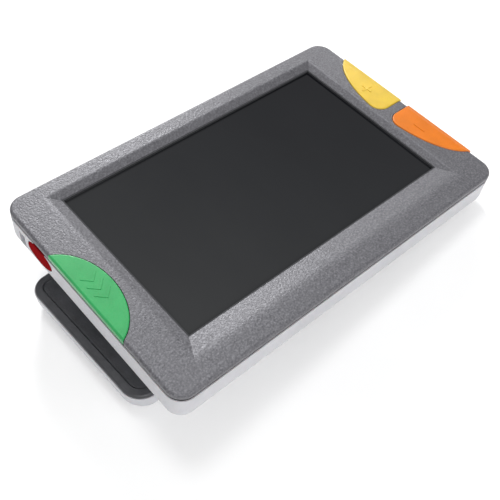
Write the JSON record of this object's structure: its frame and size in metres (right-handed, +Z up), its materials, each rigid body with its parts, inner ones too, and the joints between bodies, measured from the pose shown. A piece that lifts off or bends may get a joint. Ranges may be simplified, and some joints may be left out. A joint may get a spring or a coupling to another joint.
{
  "type": "video magnifier",
  "caption": "Handheld electronic magnifier with a wide screen, coloured crescent keys and a fold-out stand handle under its back.",
  "frame": {"origin": "on the table, under the middle of the whole object's bounding box", "axes": "+Z up from the table; +X to the user's right, along the screen's long side; +Y away from the user. The unit leans 6.8 degrees about Y, its left end up on the folded-out handle"},
  "size_m": [0.1468, 0.0874, 0.0322],
  "materials": {
    "housing_light": "satin, fine grained",
    "bezel_grey": "satin with a fine pebbled grain",
    "seam_black": "matte",
    "screen_glass": "gloss",
    "lcd_dark": "gloss",
    "diffuser_white": "matte",
    "steel": "plain",
    "board_green": "solder mask",
    "chip_black": "moulded",
    "flex_amber": "film",
    "cell_silver": "foil",
    "wire_red": "matte",
    "key_green": "satin",
    "key_yellow": "satin",
    "key_orange": "satin",
    "key_red": "gloss",
    "switch_black": "moulded",
    "switch_grey": "moulded",
    "cowl_grey": "satin",
    "clear_window": "clear",
    "lens_glass": "coated",
    "lamp_yellow": "moulded",
    "handle_dark": "satin, fine grained",
    "handle_light": "satin, fine grained",
    "pad_rubber": "matte",
    "nylon": "plain"
  },
  "bodies": {
    "unit": {"rear_housing": "housing_light", "seam_gasket": "seam_black", "front_bezel": "bezel_grey", "screen_gasket": "seam_black", "screen_lens": "screen_glass", "lcd_panel": "lcd_dark", "backlight": "diffuser_white", "lcd_frame": "steel", "display_flex": "flex_amber", "main_board": "board_green", "board_parts": "chip_black", "shield_can": "steel", "board_screws": "steel", "battery_pack": "cell_silver", "battery_lead": "wire_red", "buzzer": "switch_black", "usb_port": "steel", "av_jack": "chip_black", "key_board_left": "board_green", "key_board_right": "board_green", "key_flex_left": "flex_amber", "key_flex_right": "flex_amber", "power_switch_base": "switch_black", "camera_cowl": "cowl_grey", "camera_window": "clear_window", "camera_barrel": "chip_black", "camera_lens": "lens_glass", "camera_board": "board_green", "led_board": "board_green", "led_emitters": "lamp_yellow", "led_lenses": "clear_window", "housing_screws": "steel", "rubber_feet": "pad_rubber", "strap_bar": "steel", "hinge_brackets": "switch_black", "bracket_screws": "steel", "hinge_pins": "steel", "hinge_washers": "nylon", "green_switch_base": "switch_black", "yellow_switch_base": "switch_black", "orange_switch_base": "switch_black"},
    "green_key": {"green_button": "key_green", "green_switch_plunger": "switch_grey"},
    "yellow_key": {"yellow_button": "key_yellow", "yellow_switch_plunger": "switch_grey"},
    "orange_key": {"orange_button": "key_orange", "orange_switch_plunger": "switch_grey"},
    "power_key": {"power_button": "key_red", "power_switch_plunger": "switch_grey"},
    "handle": {"handle_shell": "handle_light", "handle_cover": "handle_dark", "handle_screws": "steel", "handle_pads": "pad_rubber"}
  },
  "joints": [
    {"name": "green_press", "type": "slide", "parent": "unit", "child": "green_key", "axis": [-0.1184, 0, -0.993], "range_m": [0, 0.0008], "stiffness_N_per_m": 600, "springref_m": -0.0005},
    {"name": "yellow_press", "type": "slide", "parent": "unit", "child": "yellow_key", "axis": [-0.1184, 0, -0.993], "range_m": [0, 0.0008], "stiffness_N_per_m": 600, "springref_m": -0.0005},
    {"name": "orange_press", "type": "slide", "parent": "unit", "child": "orange_key", "axis": [-0.1184, 0, -0.993], "range_m": [0, 0.0008], "stiffness_N_per_m": 600, "springref_m": -0.0005},
    {"name": "power_press", "type": "slide", "parent": "unit", "child": "power_key", "axis": [0.993, 0, -0.1184], "range_m": [0, 0.0008], "stiffness_N_per_m": 600, "springref_m": -0.0005},
    {"name": "handle_fold", "type": "hinge", "parent": "unit", "child": "handle", "pos_m": [-0.01097, 0, 0.005], "axis": [0, -1, 0], "range_deg": [-6.8, 113.2]}
  ]
}
